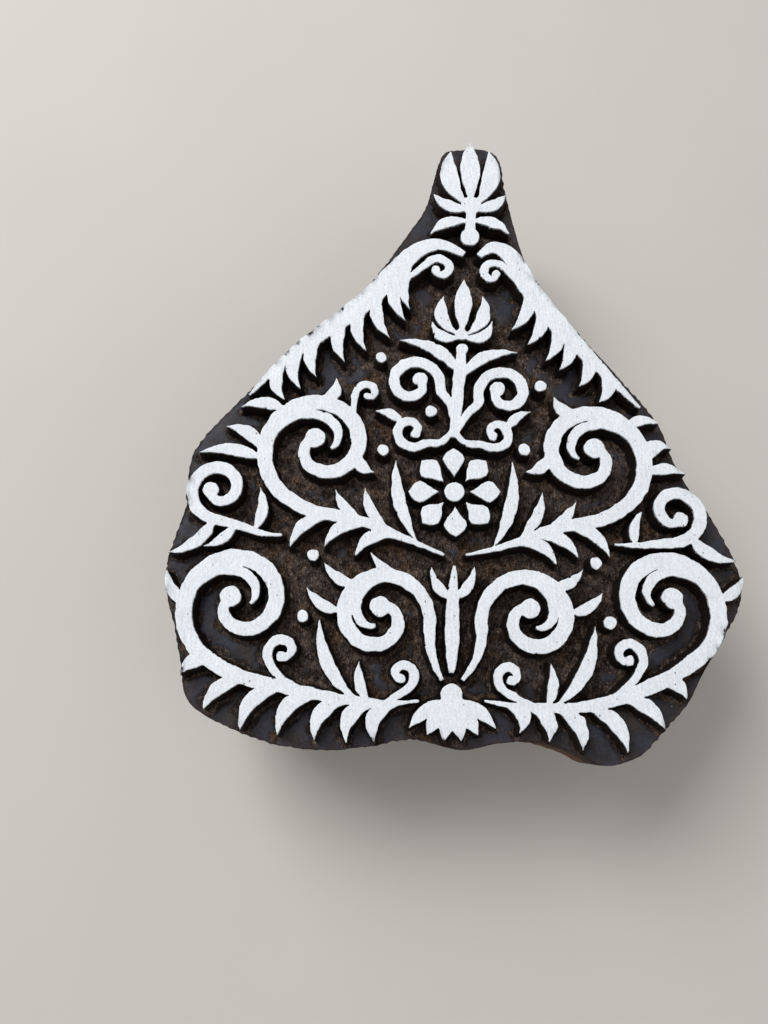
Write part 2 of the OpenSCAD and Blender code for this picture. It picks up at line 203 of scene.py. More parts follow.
class BlockSizes(bpy.types.PropertyGroup):
    """Sizes of the sawn sides and the back of the block."""

    saw_gap: length("Saw gap", "Mean distance between two marks of the saw", 2.2)
    saw_depth: length("Saw depth", "Depth of the deepest saw mark", 0.42)
    brim: length("Brim", "Rounding of the block's rim on the printing side", 0.28)
    back_bevel: length("Back bevel", "Bevel round the back of the block", 0.5)
    back_gap: length("Back gap", "Distance between two points of the block's back", 1.6)
    back_dip: length("Back dip", "Depth of the hollows that the plane left in the back", 0.12)


class HandleSizes(bpy.types.PropertyGroup):
    """Sizes of the wear on the handle and the screws."""

    voxel: length("Voxel", "Size of the mesh cells that round the handle off", 0.7)
    facet: length("Facet", "Depth of the flats that the rasp left", 0.22)
    facet_gap: length("Facet gap", "Distance between two rasped flats", 9.0)
    screw_bevel: length("Screw bevel", "Bevel on the edges of the screws", 0.12)


class StampColours(bpy.types.PropertyGroup):
    """Colours of the stamp."""

    chalk: colour("Chalk", "White chalk on the printing lands", (0.875, 0.927, 0.985, 1))
    chalk_thin: colour("Thin chalk", "Chalk where it lies thin", (0.42, 0.435, 0.475, 1))
    # Darkest dye, also used as painted shade on the lands' walls and along their foot, and as the handle's
    # grime
    dark_stain_and_shade: colour("Dark stain", "Darkest of the dye in the cuts", (0.0078, 0.0048, 0.0037, 1))
    stain: colour("Stain", "Brown of the carved wood", (0.064, 0.0475, 0.042, 1))
    stain_warm: colour("Warm stain", "Reddish patches of the carved wood", (0.088, 0.047, 0.024, 1))
    # Pale torn fibres, also used as the painted highlight on the ridges between gouge marks
    pale_stain_and_highlight: colour("Pale stain", "Torn fibres in the cuts", (0.19, 0.135, 0.102, 1))
    # Dark dye with a painted bluish reflection of the sky
    slate: colour("Slate", "Grey blue of the open ground", (0.0262, 0.0272, 0.0432, 1))
    slate_dark: colour("Dark slate", "Darker patches of the open ground", (0.0168, 0.0145, 0.016, 1))
    slate_brown: colour("Brown slate", "Brownish patches of the open ground", (0.04, 0.029, 0.023, 1))
    sawn: colour("Sawn wood", "Wood of the block's sides and back", (0.17, 0.088, 0.046, 1))
    sawn_dark: colour("Dark sawn wood", "Dark rings of the block's wood", (0.055, 0.026, 0.015, 1))
    bare: colour("Bare wood", "Wood where the dye has worn off", (0.3, 0.19, 0.1, 1))
    handle: colour("Handle", "Oiled wood of the handle", (0.2, 0.085, 0.036, 1))
    handle_dark: colour("Dark handle", "Dark streaks of the handle's grain", (0.055, 0.022, 0.011, 1))
    steel: colour("Steel", "Dull steel of the screws", (0.36, 0.34, 0.32, 1))
    rust: colour("Rust", "Rust in the screws' slots", (0.13, 0.05, 0.022, 1))


class StageSetup(bpy.types.PropertyGroup):
    """Camera, lamps and floor."""

    lens: FloatProperty(name="Lens", description="Focal length of the camera", default=27, unit="CAMERA")
    tilt: FloatProperty(
        name="Tilt", description="Angle between the view and straight down",
        default=math.radians(16), subtype="ANGLE",
    )
    camera_x: place("Camera X", "Place of the camera across the face", -15.7)
    camera_y: place("Camera Y", "Place of the camera along the face", -71.9)
    camera_rise: length("Camera rise", "Height of the camera over the printing face", 167.5)
    floor: colour("Floor", "Pale colour of the floor", (0.62, 0.6, 0.56, 1))
    far_floor: colour("Far floor", "Light that the far floor shows to the camera", (0.42, 0.41, 0.39, 1))
    far_start: length("Far start", "Distance at which that light begins", 200)
    far_end: length("Far end", "Distance at which that light is full", 1300)
    floor_half: length("Half floor", "Half the side of the floor", 3000)
    key_place: point("Key place", "Where the large lamp stands", (-0.42, 0.38, 0.78))
    key_size: length("Key size", "Side of the large lamp", 500)
    key_power: power("Key power", "Power of the large lamp", 6.5)
    fill_place: point("Fill place", "Where the second lamp stands", (0.6, -0.5, 0.7))
    fill_size: length("Fill size", "Side of the second lamp", 900)
    fill_power: power("Fill power", "Power of the second lamp", 1.2)
    sky: FloatProperty(name="Sky", description="Strength of the even light from all sides", default=0.4)
    sky_seen: FloatProperty(name="Seen sky", description="Strength of the sky that is seen", default=0.85)


# Numbers for shapes

def unit(vectors):
    """The vectors at length one."""
    return vectors / np.maximum(np.linalg.norm(vectors, axis=-1, keepdims=True), 1e-12)


def ramp(value, low, high):
    """Smooth step from 0 at low to 1 at high."""
    part = np.clip((value - low) / (high - low), 0, 1)
    return part * part * (3 - 2 * part)


def ripple(places, wave, seed, count=9):
    """Smooth noise of about -1 to 1 over the places, with bumps of the given length."""
    draw = np.random.default_rng(seed)
    total = np.zeros(len(places))
    for _ in range(count):
        angle = draw.uniform(0, 2 * math.pi)
        stretch = draw.uniform(0.7, 1.5)
        phase = draw.uniform(0, 2 * math.pi)
        along = places[:, 0] * math.cos(angle) + places[:, 1] * math.sin(angle)
        total += np.sin(along * 2 * math.pi * stretch / wave + phase)
    return total / math.sqrt(count)


def dents(places, gap, seed):
    """Distance from each place to the nearest of many scattered centres, as a share of their gap."""
    draw = np.random.default_rng(seed)
    cell = np.floor(places / gap).astype(int)
    low = cell.min(0) - 1
    jitter = draw.random((*(cell.max(0) - low + 3), 2))
    least = np.full(len(places), np.inf)
    for dx in (-1, 0, 1):
        for dy in (-1, 0, 1):
            other = cell + (dx, dy)
            centre = other + jitter[other[:, 0] - low[0], other[:, 1] - low[1]]
            least = np.minimum(least, np.linalg.norm(places / gap - centre, axis=1))
    return least


def outward(loop):
    """Unit normals of a closed loop, away from the wood on its left."""
    way = unit(np.roll(loop, -1, 0) - np.roll(loop, 1, 0))
    return np.stack((way[:, 1], -way[:, 0]), 1)


def border_loops(name, height):
    """Closed loops round the level face of a CAD node at this height, with the wood on their left."""
    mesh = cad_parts[name].data
    mesh.calc_loop_triangles()
    spots, edges = {}, set()
    for face in mesh.loop_triangles:
        corners = [mesh.vertices[i].co for i in face.vertices]
        if max(abs(corner.z - height) for corner in corners) > SAME:
            continue
        keys = [(round(corner.x / SAME), round(corner.y / SAME)) for corner in corners]
        spots.update(zip(keys, corners))
        edges.update(zip(keys, keys[1:] + keys[:1]))
    ahead = {a: b for a, b in edges if (b, a) not in edges}
    loops = []
    while ahead:
        chain = [min(ahead)]
        while (following := ahead.pop(chain[-1])) != chain[0]:
            chain.append(following)
        loops.append(np.array([spots[key][:2] for key in chain]))
    if not loops:
        raise ValueError(f"{name} has no level face at this height")
    return loops


def rounded(loop, gap):
    """Smooth curves through the loop's points, which keep its sharp corners: (points, which are corners)."""
    loop = loop[np.linalg.norm(np.roll(loop, -1, 0) - loop, axis=1) > LEAST_STEP]
    step = np.roll(loop, -1, 0) - loop
    span = np.linalg.norm(step, axis=1)
    way = unit(step)
    way_in, span_in = np.roll(way, 1, 0), np.roll(span, 1)
    corner = (way * way_in).sum(1) < math.cos(SHARP)
    corner_next = np.roll(corner, -1)
    leave = unit(way_in * span[:, None] + way * span_in[:, None])
    arrive = np.roll(leave, -1, 0)

    def mirrored(tangent):
        """The tangent of an even arc at its other end."""
        return 2 * (tangent * way).sum(1, keepdims=True) * way - tangent

    start = np.where(corner[:, None], np.where(corner_next[:, None], way, mirrored(arrive)), leave)
    end = np.where(corner_next[:, None], np.where(corner[:, None], way, mirrored(leave)), arrive)
    points, corners = [], []
    for i, reach in enumerate(span):
        parts = max(1, round(reach / gap))
        t = (np.arange(parts) / parts)[:, None]
        here, there = loop[i], loop[(i + 1) % len(loop)]
        points.append(
            (2 * t**3 - 3 * t**2 + 1) * here + (t**3 - 2 * t**2 + t) * reach * start[i]
            + (3 * t**2 - 2 * t**3) * there + (t**3 - t**2) * reach * end[i]
        )
        corners += [corner[i]] + [False] * (parts - 1)
    return np.concatenate(points), np.array(corners)


def flattened(loop, corner, cut, flat, draw):
    """The loop with its curves drawn towards straight cuts of uneven length: (points, which are corners)."""
    along = np.cumsum(np.linalg.norm(loop - np.roll(loop, 1, 0), axis=1))
    stops = np.cumsum(draw.uniform(0.5, 1.5, int(2 * along[-1] / cut) + 1) * cut)
    stops = np.searchsorted(along, stops[stops < along[-1]])
    stops = np.unique(np.concatenate((stops, np.flatnonzero(corner))))
    first = stops[0]
    loop, corner = np.roll(loop, -first, 0), np.roll(corner, -first)
    closed = np.concatenate((loop, loop[:1]))
    stops = np.append(stops - first, len(loop))
    along = np.concatenate(([0], np.cumsum(np.linalg.norm(np.diff(closed, axis=0), axis=1))))
    straight = np.stack([np.interp(along, along[stops], closed[stops, axis]) for axis in (0, 1)], 1)[:-1]
    return loop + flat * (straight - loop), corner


def eased(loop, fixed, times=2):
    """The loop with its kinks softened, apart from the fixed points."""
    for _ in range(times):
        middle = (np.roll(loop, -1, 0) + np.roll(loop, 1, 0)) / 2
        loop = np.where(fixed[:, None], loop, loop + 0.5 * (middle - loop))
    return loop


class Edges:
    """Many points along edges, to find the nearest edge and the side on which a place lies."""

    def __init__(self, loops, parts=3):
        part = (np.arange(parts) / parts)[None, :, None]
        dense = []
        for loop in loops:
            ahead = np.roll(loop, -1, 0)[:, None]
            dense.append((loop[:, None] * (1 - part) + ahead * part).reshape(-1, 2))
        self.points = np.concatenate(dense)
        self.normals = np.concatenate([outward(loop) for loop in dense])
        self.tree = KDTree(len(self.points))
        for i, (x, y) in enumerate(self.points):
            self.tree.insert((x, y, 0), i)
        self.tree.balance()

    def gap(self, places):
        """Distance from each place to the edges, below zero in the wood."""
        found = [self.tree.find((x, y, 0)) for x, y in places]
        index = np.array([hit[1] for hit in found])
        away = ((places - self.points[index]) * self.normals[index]).sum(1)
        return np.where(away < 0, -1, 1) * np.array([hit[2] for hit in found])


def room(places, ways, edges, most):
    """How far each place can move its way, at most the given length, with no other edge coming near."""
    free = np.zeros(len(places))
    steps = 8
    step = most / steps
    for reach in np.arange(1, steps + 1) * step:
        # With no other edge near, the nearest one is as far away as the place has moved
        clear = np.abs(edges.gap(places + ways * reach)) > 0.95 * reach
        free = np.where(clear & (free > reach - 1.5 * step), reach, free)
    return 0.9 * np.minimum(free, np.minimum(np.roll(free, 1), np.roll(free, -1)))


def spots_within(loop, edges, gap, margin):
    """Places in even rows inside the loop, at least the margin away from the edges."""
    low, high = loop.min(0), loop.max(0)
    rows = np.arange(low[1] + gap / 2, high[1], gap * math.sqrt(3) / 2)
    spots = [
        np.stack(np.broadcast_arrays(np.arange(low[0] + gap / 2 * (1 + i % 2), high[0], gap), y), 1)
        for i, y in enumerate(rows)
    ]
    spots = np.concatenate(spots or [np.empty((0, 2))])
    return spots[edges.gap(spots) < -margin] if len(spots) else spots


@functools.cache
def land_contours(gap, wobble, chip, cut, flat):
    """The finished upper outline of every island, by the name of its land."""
    contours = {name: [] for name in LANDS}
    for number, name in enumerate(LANDS):
        draw = np.random.default_rng(300 + number)
        for loop in border_loops(name, TOP):
            points, corner = flattened(*rounded(loop, gap), cut, flat, draw)
            way_in = unit(points - np.roll(points, 1, 0))
            way = np.roll(way_in, -1, 0)
            convex = way_in[:, 0] * way[:, 1] - way_in[:, 1] * way[:, 0] > 0
            contours[name].append(eased(points, corner & convex))
    drawn = Edges([loop for loops in contours.values() for loop in loops])
    for number, name in enumerate(LANDS):
        for island, points in enumerate(contours[name]):
            normals = outward(points)
            stray = 0.7 * ripple(points, SLOW_STRAY, number) + 0.3 * ripple(points, QUICK_STRAY, number + 50)
            chips = np.clip(ripple(points, CHIP_WAVE, number + 90) - 1.5, 0, 0.6) / 0.6
            inner, outer = (0.7 * room(points, normals * side, drawn, 2 * chip) for side in (-1, 1))
            shift = np.clip(wobble * stray - chip * chips, -inner, outer)
            contours[name][island] = points + normals * shift[:, None]
    return contours


@functools.cache
def land_edges(*shape):
    """The edges of all lands."""
    return Edges([loop for loops in land_contours(*shape).values() for loop in loops])


@functools.cache
def block_outline(gap):
    """The block's smooth outline, and its edges."""
    loop, _ = rounded(max(border_loops("block", FLOOR), key=len), gap)
    return loop, Edges([loop])


class Skin:
    """Points, faces and painted values of one piece in the making."""

    def __init__(self, *paints):
        self.points, self.faces = [], []
        self.paints = {name: [] for name in paints}
        self.count = 0

    def add(self, places, heights, **paints):
        """Adds points and gives the number of the first."""
        first = self.count
        heights = np.broadcast_to(heights, len(places))
        self.points.append(np.column_stack((places, heights)))
        for name, values in self.paints.items():
            values.append(np.broadcast_to(paints.get(name, 0.0), len(places)))
        self.count += len(places)
        return first

    def wall(self, low, high, count):
        """Joins two closed rings of points, the first under the second or outside it."""
        for i in range(count):
            j = (i + 1) % count
            self.faces.append((low + i, low + j, high + j, high + i))

    def fill(self, ring, inner=(), up=True):
        """Fills the ring of point numbers, by way of the inner point numbers."""
        chosen = [*ring, *inner]
        places = np.concatenate(self.points)[chosen, :2] / MM
        count = len(ring)
        border = [(i, (i + 1) % count) for i in range(count)]
        inside_only = 1
        tolerance = 1e-6
        made, _, faces, origin, _, _ = delaunay_2d_cdt(
            [Vector(spot) for spot in places], border, [], inside_only, tolerance
        )
        number = []
        for spot, sources in zip(made, origin):
            nearest = sources[0] if sources else int(np.argmin(np.linalg.norm(places - spot, axis=1)))
            number.append(chosen[nearest])
        for face in faces:
            a, b, c = (number[i] for i in face)
            if len({a, b, c}) == 3:
                self.faces.append((a, b, c) if up else (c, b, a))

    def piece(self, name, material, slot, *nodes):
        """Makes the piece, which stands for the nodes and keeps within the CAD box."""
        mesh = bpy.data.meshes.new(name)
        mesh.from_pydata(np.clip(np.concatenate(self.points), *CAD_BOX), [], self.faces, shade_flat=False)
        for paint, values in self.paints.items():
            layer = mesh.attributes.new(paint, "FLOAT", "POINT")
            layer.data.foreach_set("value", np.concatenate(values).astype(np.float32))
        mesh.validate()
        return placed(bpy.data.objects.new(name, mesh), material, slot, *nodes)


def placed(piece, material, slot, *nodes):
    """Puts a piece into the scene, on the stamp's body."""
    bpy.context.scene.collection.objects.link(piece)
    piece.data.materials.clear()
    piece.data.materials.append(material)
    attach(piece, BODY)
    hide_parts(*nodes)
    return piece


# Paint

class Field:
    """A socket of a material, with which sums can be written."""

    def __init__(self, paint, socket):
        self.paint, self.socket = paint, socket

    def worked_out(self, operation, *values):
        """The result of a Math node."""
        return self.paint.node("ShaderNodeMath", {"operation": operation}, dict(enumerate(values)))

    def __add__(self, other):
        return self.worked_out("ADD", self, other)

    def __radd__(self, other):
        return self.worked_out("ADD", other, self)

    def __sub__(self, other):
        return self.worked_out("SUBTRACT", self, other)

    def __rsub__(self, other):
        return self.worked_out("SUBTRACT", other, self)

    def __mul__(self, other):
        return self.worked_out("MULTIPLY", self, other)

    def __rmul__(self, other):
        return self.worked_out("MULTIPLY", other, self)

    def __truediv__(self, other):
        return self.worked_out("DIVIDE", self, other)

    def __rtruediv__(self, other):
        return self.worked_out("DIVIDE", other, self)

    def larger(self, other):
        """The larger of two values."""
        return self.worked_out("MAXIMUM", self, other)

    def between(self, low, high):
        """Smooth step from 0 at low to 1 at high."""
        ends = {"Value": self, "From Min": low, "From Max": high}
        return self.paint.node("ShaderNodeMapRange", {"interpolation_type": "SMOOTHSTEP"}, ends)


class Paint:
    """The nodes of one material, or of the world, with places measured in millimetres."""

    def __init__(self, owner):
        self.owner = owner
        owner.use_nodes = True
        self.tree = owner.node_tree
        self.tree.nodes.clear()

    @functools.cached_property
    def place(self):
        """Where a point lies on the stamp."""
        where = self.node("ShaderNodeTexCoord", output="Object")
        return self.node("ShaderNodeVectorMath", {"operation": "MULTIPLY"}, {0: where, 1: (1 / MM,) * 3})

    def node(self, kind, settings=None, inputs=None, output=0):
        """Adds a node, sets it up, fills its sockets and gives one of its outputs."""
        made = self.tree.nodes.new(kind)
        for name, value in (settings or {}).items():
            setattr(made, name, value)
        for name, value in (inputs or {}).items():
            if isinstance(value, Field):
                self.tree.links.new(value.socket, made.inputs[name])
            else:
                made.inputs[name].default_value = value
        return Field(self, made.outputs[output]) if made.outputs else None

    def painted(self, name):
        """A value that was painted on the points."""
        return self.node("ShaderNodeAttribute", {"attribute_name": name}, output="Fac")

    def stretched(self, x, y, z):
        """The place with each axis multiplied, so that patterns on it are drawn out along the small ones."""
        return self.node("ShaderNodeVectorMath", {"operation": "MULTIPLY"}, {0: self.place, 1: (x, y, z)})

    def cloud(self, size, detail=3, rough=0.55, where=None, bend=0):
        """Noise of 0 to 1, with patches of the given size in millimetres."""
        sockets = {"Vector": where or self.place, "Scale": 1 / size, "Detail": detail,
                   "Roughness": rough, "Distortion": bend}
        return self.node("ShaderNodeTexNoise", {}, sockets)

    def rings(self, axis, where, scale, bend, detail, fine):
        """Growth rings of wood, of 0 to 1, round the axis."""
        sockets = {"Vector": where, "Scale": scale, "Distortion": bend,
                   "Detail": detail, "Detail Scale": fine}
        return self.node("ShaderNodeTexWave", {"wave_type": "RINGS", "rings_direction": axis}, sockets)

    def specks(self, size, most, where=None):
        """Mask of round specks: one in each cell of the given size, with a radius up to a share of it."""
        sockets = {"Vector": where or self.place, "Scale": 1 / size}
        far = self.node("ShaderNodeTexVoronoi", {}, sockets, "Distance")
        pick = self.node("ShaderNodeTexVoronoi", {}, sockets, "Color")
        pick = self.node("ShaderNodeSeparateColor", {}, {0: pick}, 0)
        return 1 - (far / (pick * most + 0.001)).between(0.7, 1.0)

    def mixed(self, first, second, mask):
        """The first colour where the mask is 0 and the second where it is 1."""
        return self.node("ShaderNodeMix", {"data_type": "RGBA"}, {0: mask, 6: first, 7: second}, 2)

    def bump(self, height, depth):
        """Normal of a surface whose relief is depth millimetres where height is one."""
        sockets = {"Height": height, "Distance": depth * MM, "Strength": 1.0}
        return self.node("ShaderNodeBump", {}, sockets)

    def finish(self, base, rough, normal, **sockets):
        """Ends the material with its shader."""
        values = {"Base Color": base, "Roughness": rough, "Normal": normal}
        values.update({name.replace("_", " "): value for name, value in sockets.items()})
        shader = self.node("ShaderNodeBsdfPrincipled", {}, values)
        self.node("ShaderNodeOutputMaterial", {}, {"Surface": shader})
        return self.owner


def carved_brown(paint, colours, shade):
    """Dye-dark wood of the cuts, with painted shade that turns it near black where shade is one: (colour,
    relief).
    """
    coarse = paint.cloud(0.45, detail=4, rough=0.76, bend=0.5)
    patches = paint.cloud(1.9, rough=0.6, bend=0.6)
    fibres = paint.cloud(0.34, rough=0.7, where=paint.stretched(1, 0.34, 1), bend=1.2)
    # The shade input is painted shade: it pulls the wood towards the darkest colour and thins out the pale
    # fibres
    light = (coarse * 0.9 + fibres * 0.45 + patches * 0.8 - shade * 0.42).between(0.91, 1.23)
    warm = paint.cloud(4.2, detail=2, rough=0.5).between(0.54, 0.66)
    stain = paint.mixed(colours.stain, colours.stain_warm, warm)
    base = paint.mixed(colours.dark_stain_and_shade, stain, light)
    torn = (fibres + patches * 0.3 - shade * 0.14).between(0.69, 0.79)
    return paint.mixed(base, colours.pale_stain_and_highlight, torn), coarse * 0.7 + fibres * 0.3


def chalked_paint(colours):
    """White chalk on the printing lands, with dark dyed walls below that painted shade darkens further."""
    paint = Paint(bpy.data.materials.new("chalked_face"))
    # Painted shade darkens all the brown of the lands: their walls, and the spots where the chalk is worn
    # off
    brown, fibres = carved_brown(paint, colours, 0.8)
    clouds = paint.cloud(7, detail=4, rough=0.6)
    streaks = paint.cloud(0.5, rough=0.65, where=paint.stretched(1, 0.12, 1))
    grain = paint.cloud(0.3, detail=2, rough=0.8, where=paint.stretched(1, 0.6, 1))
    thin = (clouds * 0.3 + streaks * 0.7 + grain * 1.2).between(0.8, 1.4)
    white = paint.mixed(colours.chalk, colours.chalk_thin, thin * 0.44)
    pores = paint.specks(1.3, 0.16, paint.stretched(1, 0.7, 1)) * clouds.between(0.38, 0.6)
    white = paint.mixed(white, colours.stain, pores * 0.8)
    scuffed = paint.painted("chalk").between(1.0, 0.6) * (streaks * 0.6 + clouds * 0.5).between(0.45, 0.62)
    white = paint.mixed(white, colours.chalk_thin, scuffed * 0.7)
    cover = paint.painted("chalk") + (paint.cloud(0.5, detail=4, rough=0.7) + streaks - 1) * 0.6
    mask = cover.between(0.42, 0.62)
    base = paint.mixed(brown, white, mask)
    rough = 0.74 + mask * 0.16
    relief = fibres * (1 - mask) * 0.2 + streaks * mask * 0.012 - pores * mask * 0.05
    return paint.finish(base, rough, paint.bump(relief, 1.0), Specular_IOR_Level=0.15)


def slate_ground(paint, colours, fine):
    """Smooth ground between the carvings, dark dye with a painted bluish reflection of the sky in its
    colour: (colour, sheen).
    """
    mottle = paint.cloud(4.5, detail=4, rough=0.62)
    grains = (fine - 0.5) * 0.9
    base = paint.mixed(colours.slate_dark, colours.slate, (mottle + grains).between(0.38, 0.62))
    rubbed = (paint.cloud(6, rough=0.6, bend=0.4) + grains).between(0.5, 0.68)
    base = paint.mixed(base, colours.slate_brown, rubbed * 0.8)
    dust = fine.between(0.62, 0.76) * mottle.between(0.4, 0.6)
    return paint.mixed(base, colours.chalk_thin, dust * 0.24), 0.05 + mottle * 0.22


def sawn_wood(paint, colours):
    """Sawn wood of the sides and the back, its fibres along the block: (colour, relief)."""
    along = paint.stretched(1, 0.05, 1)
    rings = paint.rings("Y", along, scale=0.13, bend=3, detail=2, fine=0.9)
    tones = paint.cloud(16, rough=0.6, where=paint.stretched(1, 0.3, 1))
    fibres = paint.cloud(0.6, detail=4, rough=0.62, where=along)
    scratches = paint.cloud(0.7, rough=0.65, where=paint.stretched(1, 1, 0.06))
    light = (rings * 0.1 + tones * 0.55 + fibres * 0.5 + scratches * 0.4).between(0.5, 1.02)
    base = paint.mixed(colours.sawn_dark, colours.sawn, light)
    pores = paint.specks(1.2, 0.2, paint.stretched(1, 0.07, 1))
    base = paint.mixed(base, colours.sawn_dark, pores * 0.8)
    return base, fibres * 0.5 + scratches * 0.7 - pores * 0.5


def block_paint(colours):
    """Wood of the block: dyed brown in the cuts with painted shade along the lands and painted highlights on
    the gouge ridges, slate with a painted bluish reflection on the open ground, and sawn at its sides.
    """
    paint = Paint(bpy.data.materials.new("carved_wood"))
    fine = paint.cloud(0.4, rough=0.72)
    # Painted shade in a ragged band along the foot of each land, from the painted cut value
    kept = paint.cloud(4.5, detail=2).between(0.36, 0.56) * 0.8 + 0.2
    cut = paint.painted("cut") * kept + (paint.cloud(0.9, rough=0.6) - 0.5) * 0.7
    brown, fibres = carved_brown(paint, colours, cut.between(0.2, 0.8))
    slate, sheen = slate_ground(paint, colours, fine)
    ragged = (paint.cloud(1.2, detail=4, rough=0.68) - 0.5) * 0.9
    # The open ground takes the slate colour, with its painted bluish reflection
    open_ground = (paint.painted("slate") + ragged).between(0.44, 0.64)
    base = paint.mixed(brown, slate, open_ground)
    # Painted highlight: the ridges between gouge marks are lightened
    ridge = paint.painted("ridge") * paint.cloud(0.8).between(0.4, 0.7)
    base = paint.mixed(base, colours.pale_stain_and_highlight, ridge * (1 - open_ground) * 0.2)

    wood, grain = sawn_wood(paint, colours)
    runs = paint.cloud(3.5, detail=4, rough=0.6, where=paint.stretched(1, 1, 0.35))
    dyed = (paint.painted("dye") + (runs - 0.5) * 1.1).between(0.35, 0.65)
    side = paint.mixed(wood, colours.slate_dark, dyed * 0.82)
    sawn = paint.painted("sawn")
    base = paint.mixed(base, side, sawn)
    frayed = (paint.cloud(2, detail=4, rough=0.7) - 0.5) * 0.9
    worn = (paint.painted("worn") + frayed).between(0.72, 0.95)
    base = paint.mixed(base, colours.bare, worn * 0.7)
    dust = paint.specks(2.6, 0.05) * paint.cloud(7, detail=2).between(0.45, 0.6)
    base = paint.mixed(base, colours.chalk_thin, dust * 0.6)

    smooth = open_ground * (1 - sawn)
    rough = 0.82 - smooth * 0.2 + fine * 0.1
    carved = fibres * (1 - open_ground) * 0.3 + fine * 0.04
    relief = carved * (1 - sawn) + grain * sawn * 0.16
    return paint.finish(
        base, rough, paint.bump(relief, 1.0), Specular_IOR_Level=0.15,
        Coat_Weight=smooth * sheen, Coat_Roughness=0.42,
    )


def handle_paint(colours):
    """Oiled and hand-worn wood of the handle, with its grain along its length."""
    paint = Paint(bpy.data.materials.new("handle_wood"))
    warp = paint.cloud(14, detail=2, rough=0.5, where=paint.stretched(0.25, 1, 1))
    rings = paint.rings("X", paint.stretched(0.05, 1, 1), scale=0.19, bend=4, detail=3, fine=1.2)
    fibres = paint.cloud(0.45, detail=4, rough=0.6, where=paint.stretched(0.06, 1, 1))
    light = (rings * 0.12 + fibres * 0.65 + warp * 0.55).between(0.4, 0.98)
    base = paint.mixed(colours.handle_dark, colours.handle, light)
    pores = paint.specks(0.9, 0.14, paint.stretched(0.12, 1, 1))
    base = paint.mixed(base, colours.handle_dark, pores * 0.7)
    grime = paint.cloud(11, detail=4, rough=0.6).between(0.52, 0.72)
    base = paint.mixed(base, colours.dark_stain_and_shade, grime * 0.45)
    rough = 0.42 + fibres * 0.18 + grime * 0.15
    relief = fibres * 0.04 - pores * 0.06
    return paint.finish(base, rough, paint.bump(relief, 1.0), Specular_IOR_Level=0.5)


def screw_paint(colours):
    """Dull steel with rust."""
    paint = Paint(bpy.data.materials.new("screw_steel"))
    rust = paint.cloud(1.6, detail=4, rough=0.65).between(0.45, 0.68)
    base = paint.mixed(colours.steel, colours.rust, rust)
    relief = paint.cloud(0.3) * 0.03 * rust
    return paint.finish(base, 0.38 + rust * 0.45, paint.bump(relief, 1.0), Metallic=1 - rust)


# Pieces

# Inset and depth of the rings that round a land's edge off, as shares of its radius
ROUNDING = [(1 - math.cos(turn), 1 - math.sin(turn)) for turn in (0.5, 0.95, 1.4)] + [(2.0, 0.0)]
WALL_STEPS = 6


def edge_shape(sizes):
    """The sizes on which the edges of the lands depend."""
    return sizes.point_gap, sizes.wobble, sizes.chip, sizes.knife_cut, sizes.knife_flat


def worn_down(places, sizes):
    """How far the lands are worn down at these places, beside the block's rim."""
    _, rim = block_outline(sizes.point_gap)
    near = 1 - ramp(-rim.gap(places), WEAR_START, sizes.wear_reach)
    return sizes.tip_wear * near * np.clip(0.6 + 0.5 * ripple(places, WEAR_WAVE, 7), 0, 1)


def carve_island(skin, loop, sizes, seed):
    """Adds one island of a land: a flat top, a worn edge and a chiselled wall down into the floor."""
    edges = land_edges(*edge_shape(sizes))
    normals, count = outward(loop), len(loop)
    worn = worn_down(loop, sizes)
    height = TOP - FLOOR
    marks = np.clip(0.5 + 0.6 * ripple(loop, CHISEL_WAVE, seed), 0, DEEPEST_MARK)
    inner = room(loop, -normals, edges, 2 * sizes.edge_round)
    outer = room(loop, normals, edges, sizes.wall_spread + DEEPEST_MARK * sizes.chisel_mark)

    def moved(reach):
        """The loop, moved outwards by the reach as far as there is room."""
        return loop + normals * np.clip(reach, -inner, outer)[:, None]

    def ring(reach, depth, chalk):
        """Adds the moved loop, at the depth below the top, and lower where the land is worn."""
        lowered = worn * np.clip(1 - depth / height, 0, 1)
        cover = chalk - worn / sizes.tip_wear * LOST_CHALK
        return skin.add(moved(reach), TOP - depth - lowered, chalk=cover)

    rim = above = ring(0.0, sizes.edge_round, RIM_CHALK)
    for inset, depth in ROUNDING:
        below = above
        above = ring(-inset * sizes.edge_round, depth * sizes.edge_round, min(1.0, CHALK_REACH - depth))
        skin.wall(below, above, count)
    innermost = moved(-inset * sizes.edge_round)
    gap = 4 * sizes.point_gap
    middle = spots_within(innermost, Edges([innermost], 1), gap, gap / 2)
    depth = worn_down(middle, sizes) if len(middle) else np.zeros(0)
    first = skin.add(middle, TOP - depth, chalk=1 - depth / sizes.tip_wear * LOST_CHALK)
    skin.fill(range(above, above + count), range(first, first + len(middle)))

    above = rim
    for step in range(1, WALL_STEPS + 1):
        part = step / WALL_STEPS
        reach = sizes.wall_spread * part**1.2 + sizes.chisel_mark * marks * part
        depth = sizes.edge_round + (height + sizes.root - sizes.edge_round) * part
        below = ring(reach, depth, WALL_CHALK if step == 1 else 0.0)
        skin.wall(below, above, count)
        above = below
    skin.fill(range(above, above + count), up=False)


